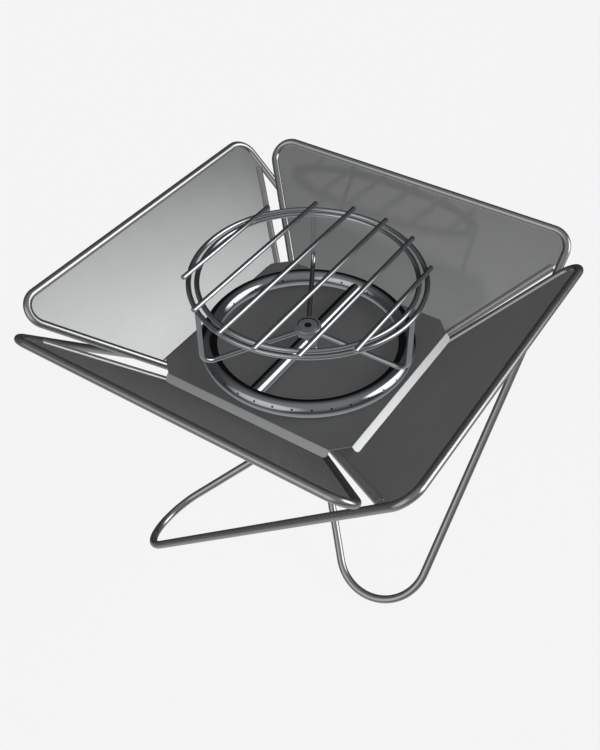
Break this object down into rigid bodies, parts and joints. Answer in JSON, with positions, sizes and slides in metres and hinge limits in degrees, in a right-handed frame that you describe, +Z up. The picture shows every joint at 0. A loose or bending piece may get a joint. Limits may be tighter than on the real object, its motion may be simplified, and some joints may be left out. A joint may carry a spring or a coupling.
{
  "type": "camping stove",
  "caption": "Open-frame camping stove: sloping sheet wings on bent-rod legs, a tray, a ring gas burner and a round wire pot stand.",
  "frame": {"origin": "centre of the footprint on the ground, on the burner's upright axis", "axes": "+Z up, +Y along the grill rods and the feed bar, +X towards the stand leg between the other two"},
  "size_m": [0.4078, 0.4078, 0.2906],
  "materials": {
    "loop_rod": "bright drawn stainless rod",
    "wing_sheet": "satin stainless sheet",
    "tray_sheet": "satin stainless sheet",
    "burner_tube": "polished stainless tube",
    "gas_brass": "turned brass",
    "zinc_steel": "plated washer",
    "stand_wire": "polished wire"
  },
  "bodies": {
    "frame": {"wing_rear_loop": "loop_rod", "wing_rear_panel": "wing_sheet", "wing_left_loop": "loop_rod", "wing_left_panel": "wing_sheet", "wing_front_loop": "loop_rod", "wing_front_panel": "wing_sheet", "wing_right_loop": "loop_rod", "wing_right_panel": "wing_sheet"},
    "tray_unit": {"tray": "tray_sheet", "burner_ring": "burner_tube", "feed_bar_front": "burner_tube", "feed_bar_rear": "burner_tube", "hub_body": "burner_tube", "gas_stem": "gas_brass", "tray_washer": "zinc_steel", "lock_nut": "gas_brass", "jet_holder": "gas_brass", "gas_jet": "gas_brass", "inlet_union": "gas_brass"},
    "pot_stand": {"stand_boss": "stand_wire", "stand_ring_outer": "stand_wire", "stand_ring_inner": "stand_wire", "stand_leg_right": "stand_wire", "stand_leg_rear": "stand_wire", "stand_leg_left": "stand_wire", "grill_rod_1": "stand_wire", "grill_rod_2": "stand_wire", "grill_rod_3": "stand_wire", "grill_rod_4": "stand_wire", "grill_rod_5": "stand_wire", "grill_rod_6": "stand_wire"},
    "clamp": {"clamp_screw": "stand_wire"}
  },
  "joints": [
    {"name": "tray_lift", "type": "slide", "parent": "frame", "child": "tray_unit", "axis": [0, 0, 1], "range_m": [0, 0.2]},
    {"name": "stand_turn", "type": "hinge", "parent": "tray_unit", "child": "pot_stand", "pos_m": [0, 0, 0.2216], "axis": [0, 0, 1], "continuous": true},
    {"name": "clamp_turn", "type": "hinge", "parent": "tray_unit", "child": "clamp", "pos_m": [0, 0, 0.224], "axis": [0, 0, 1], "continuous": true}
  ]
}
